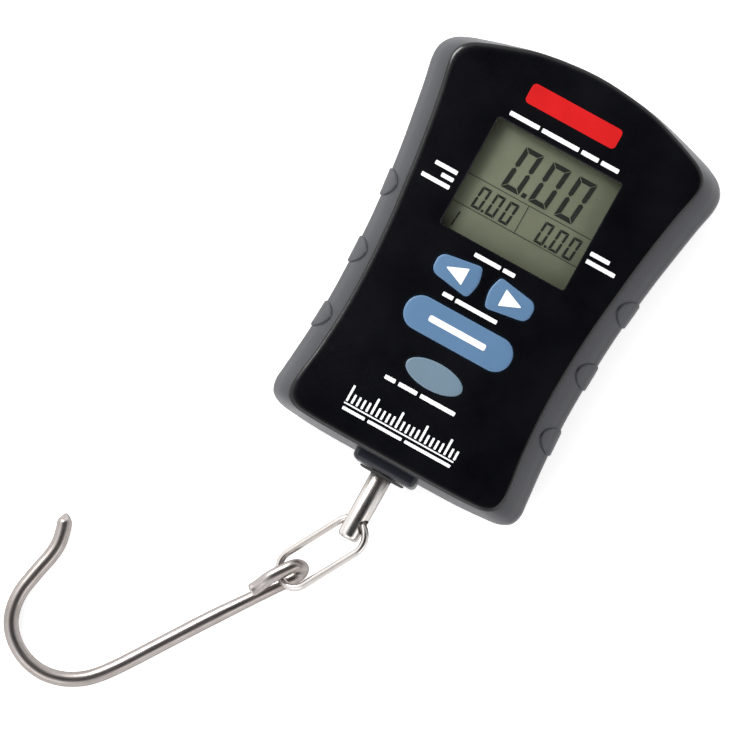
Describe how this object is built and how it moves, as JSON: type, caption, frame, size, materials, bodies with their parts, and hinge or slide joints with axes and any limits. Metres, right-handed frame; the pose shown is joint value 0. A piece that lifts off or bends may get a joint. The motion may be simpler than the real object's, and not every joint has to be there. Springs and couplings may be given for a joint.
{
  "type": "digital fish scale",
  "caption": "Hand-held electronic hanging scale with a grey-green display and press keys, a turning stem, a wire link and a swinging open hook.",
  "frame": {"origin": "on the flat back of the rear shell, midway up the case, the surface the scale lies on", "axes": "+Z out of the display face, +Y up the face away from the hook, +X to the reader's right"},
  "size_m": [0.1299, 0.2403, 0.026],
  "materials": {
    "shell": "satin dark grey moulded ABS",
    "face": "glossy black",
    "window": "clear moulded acrylic",
    "lcd": "grey-green reflective liquid crystal cell",
    "key_blue": "pale blue, satin",
    "key_pale": "pale blue-grey, glossy",
    "holder": "white moulded",
    "gasket": "matt black",
    "zebra": "pink and black layered silicone",
    "board": "green solder mask on glass laminate",
    "chip": "black epoxy",
    "film": "amber foil gauge",
    "stainless": "polished stainless wire and rod",
    "hook_steel": "drawn stainless wire, lightly worn",
    "steel": "zinc-plated steel",
    "aluminium": "machined",
    "cell": "printed sleeve on a metal can",
    "contact": "nickel-plated spring steel",
    "bushing": "natural acetal",
    "lead_red": "red insulation",
    "lead_black": "black insulation",
    "lead_white": "white jacket"
  },
  "bodies": {
    "case": {"rear_shell": "shell", "front_shell": "shell", "battery_tray": "shell", "face_bezel": "face", "lcd_window": "window", "lcd_glass": "lcd", "lcd_holder": "holder", "zebra_strip": "zebra", "case_gasket": "gasket", "door_gasket": "gasket", "stem_seal": "gasket", "main_pcb": "board", "mcu_chip": "chip", "amplifier_chip": "chip", "switch_left": "steel", "switch_right": "steel", "switch_select": "steel", "switch_power": "steel", "pcb_screw_1": "steel", "pcb_screw_2": "steel", "pcb_screw_3": "steel", "pcb_screw_4": "steel", "case_screw_1": "steel", "case_screw_2": "steel", "case_screw_3": "steel", "case_screw_4": "steel", "load_cell": "aluminium", "load_cell_screw_1": "steel", "load_cell_screw_2": "steel", "strain_gauge_1": "film", "strain_gauge_2": "film", "load_cell_cable": "lead_white", "thrust_washer": "steel", "stem_bushing": "bushing", "battery_1": "cell", "battery_2": "cell", "bridge_contact": "contact", "positive_contact": "contact", "negative_contact": "contact", "contact_spring_1": "contact", "contact_spring_2": "contact", "lead_positive": "lead_red", "lead_negative": "lead_black"},
    "key_left": {"key_left": "key_blue"},
    "key_right": {"key_right": "key_blue"},
    "key_select": {"key_select": "key_blue"},
    "key_power": {"key_power": "key_pale"},
    "battery_door": {"battery_door": "shell"},
    "stem": {"stem": "stainless", "stem_nut": "steel"},
    "link": {"link": "stainless"},
    "hook": {"hook": "hook_steel"}
  },
  "joints": [
    {"name": "key_left_press", "type": "slide", "parent": "case", "child": "key_left", "axis": [0, 0, -1], "range_m": [0, 0.0005], "stiffness_N_per_m": 1500},
    {"name": "key_right_press", "type": "slide", "parent": "case", "child": "key_right", "axis": [0, 0, -1], "range_m": [0, 0.0005], "stiffness_N_per_m": 1500},
    {"name": "key_select_press", "type": "slide", "parent": "case", "child": "key_select", "axis": [0, 0, -1], "range_m": [0, 0.0005], "stiffness_N_per_m": 1500},
    {"name": "key_power_press", "type": "slide", "parent": "case", "child": "key_power", "axis": [0, 0, -1], "range_m": [0, 0.0005], "stiffness_N_per_m": 1500},
    {"name": "battery_door_hinge", "type": "hinge", "parent": "case", "child": "battery_door", "pos_m": [0, 0.016, 0.0011], "axis": [-1, 0, 0], "range_deg": [0, 95]},
    {"name": "stem_swivel", "type": "hinge", "parent": "case", "child": "stem", "pos_m": [0, -0.0863, 0.0125], "axis": [0, 1, 0], "continuous": true},
    {"name": "link_swing", "type": "hinge", "parent": "stem", "child": "link", "pos_m": [0, -0.0863, 0.0125], "axis": [0.8829, 0, 0.4695], "range_deg": [-90, 90]},
    {"name": "hook_swing", "type": "hinge", "parent": "link", "child": "hook", "pos_m": [-0.01212, -0.11167, 0.00525], "axis": [0.7784, -0.5532, 0.2966], "range_deg": [-60, 90]}
  ]
}
